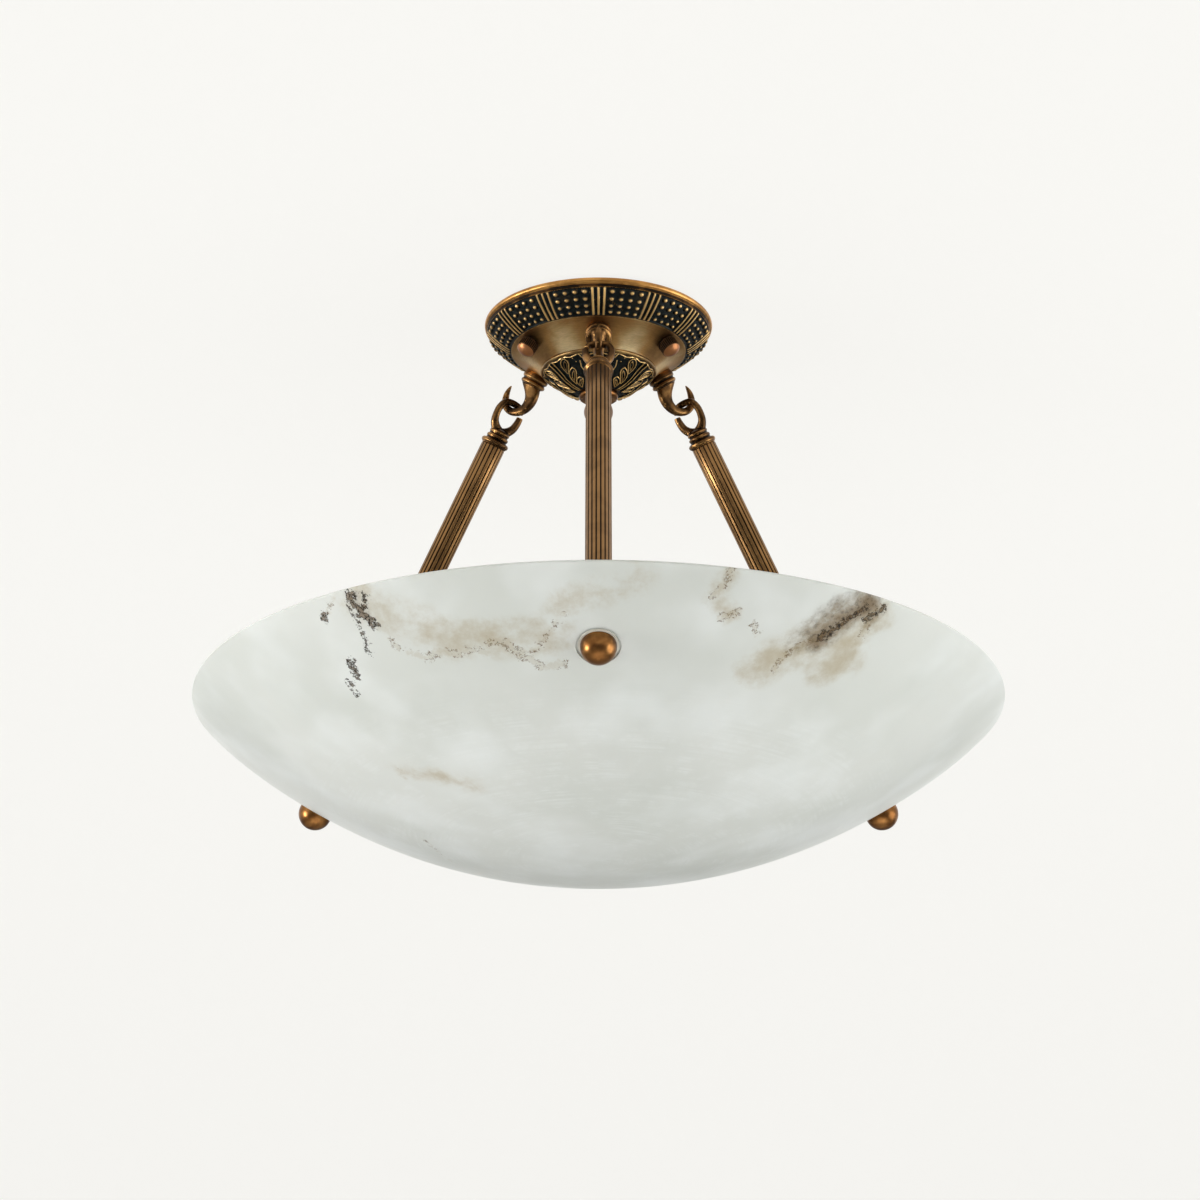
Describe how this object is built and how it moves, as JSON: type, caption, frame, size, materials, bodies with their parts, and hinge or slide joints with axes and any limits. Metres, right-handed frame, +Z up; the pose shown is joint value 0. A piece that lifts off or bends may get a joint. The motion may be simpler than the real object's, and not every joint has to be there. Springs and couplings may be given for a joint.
{
  "type": "ceiling light",
  "caption": "Alabaster bowl ceiling light that hangs on reeded brass rods from cast hooks under an ornamented canopy, with a hidden lamp cluster.",
  "frame": {"origin": "centre of the ceiling plane, on the light's own axis, midway between the two ceiling screws", "axes": "+Z up into the ceiling, -Y towards the front rod, +X to the right as seen from the front"},
  "size_m": [0.5, 0.5, 0.3605],
  "materials": {
    "galvanised_steel": "zinc plated, satin",
    "plain_steel": "plain turned",
    "white_plastic": "moulded",
    "plain_brass": "turned, lacquered",
    "patinated_brass": "cast, dark patina in the recesses, rubbed bright on the edges",
    "polished_brass": "polished, lacquered",
    "cast_brass": "cast, antique brown",
    "reeded_brass": "reeded, antique brown",
    "pale_washer": "pale moulded washer",
    "alabaster": "polished alabaster with brown and grey veins",
    "white_porcelain": "white glaze",
    "nickel": "nickel plated",
    "frosted_glass": "frosted inside"
  },
  "bodies": {
    "canopy": {"ceiling_plate": "galvanised_steel", "plate_locknut": "galvanised_steel", "centre_nipple": "plain_steel", "terminal_block": "white_plastic", "earth_screw": "plain_brass", "canopy_dish": "patinated_brass", "canopy_cup": "patinated_brass", "cup_ring": "polished_brass", "finial_ball": "polished_brass", "finial_bead": "polished_brass", "hook_front": "cast_brass", "hook_right": "cast_brass", "hook_left": "cast_brass", "hook_washers": "galvanised_steel", "hook_nuts": "galvanised_steel", "cap_screws": "patinated_brass", "stem": "plain_brass", "lamp_hub": "plain_brass", "hub_cover": "plain_brass", "lamp_arm_right": "plain_brass", "lamp_arm_left": "plain_brass", "lamp_arm_back": "plain_brass", "lampholder_right": "white_porcelain", "lampholder_left": "white_porcelain", "lampholder_back": "white_porcelain", "bulb_cap_right": "nickel", "bulb_cap_left": "nickel", "bulb_cap_back": "nickel", "bulb_glass_right": "frosted_glass", "bulb_glass_left": "frosted_glass", "bulb_glass_back": "frosted_glass"},
    "bowl": {"bowl": "alabaster"},
    "rod_front_set": {"rod_front": "reeded_brass", "eye_front": "cast_brass", "stud_front": "plain_steel", "inner_washer_front": "plain_brass", "outer_washer_front": "pale_washer", "dome_nut_front": "polished_brass"},
    "rod_right_set": {"rod_right": "reeded_brass", "eye_right": "cast_brass", "stud_right": "plain_steel", "inner_washer_right": "plain_brass", "outer_washer_right": "pale_washer", "dome_nut_right": "polished_brass"},
    "rod_left_set": {"rod_left": "reeded_brass", "eye_left": "cast_brass", "stud_left": "plain_steel", "inner_washer_left": "plain_brass", "outer_washer_left": "pale_washer", "dome_nut_left": "polished_brass"}
  },
  "joints": [
    {"name": "bowl_twist", "type": "hinge", "parent": "canopy", "child": "bowl", "pos_m": [0, 0, 0], "axis": [0, 0, 1], "range_deg": [-3, 3], "stiffness_Nm_per_rad": 3.3},
    {"name": "rod_front_swing", "type": "hinge", "parent": "canopy", "child": "rod_front_set", "pos_m": [0, -0.064, -0.0455], "axis": [0, -0.1738, 0.9848], "range_deg": [-3.4, 3.4]},
    {"name": "rod_right_swing", "type": "hinge", "parent": "canopy", "child": "rod_right_set", "pos_m": [0.05543, 0.032, -0.0455], "axis": [0.1505, 0.0869, 0.9848], "range_deg": [-3.4, 3.4]},
    {"name": "rod_left_swing", "type": "hinge", "parent": "canopy", "child": "rod_left_set", "pos_m": [-0.05543, 0.032, -0.0455], "axis": [-0.1505, 0.0869, 0.9848], "range_deg": [-3.4, 3.4]}
  ],
  "couplings": [
    {"joint": "rod_front_swing", "follows": "bowl_twist", "ratio": 1.1305},
    {"joint": "rod_right_swing", "follows": "bowl_twist", "ratio": 1.1305},
    {"joint": "rod_left_swing", "follows": "bowl_twist", "ratio": 1.1305}
  ]
}
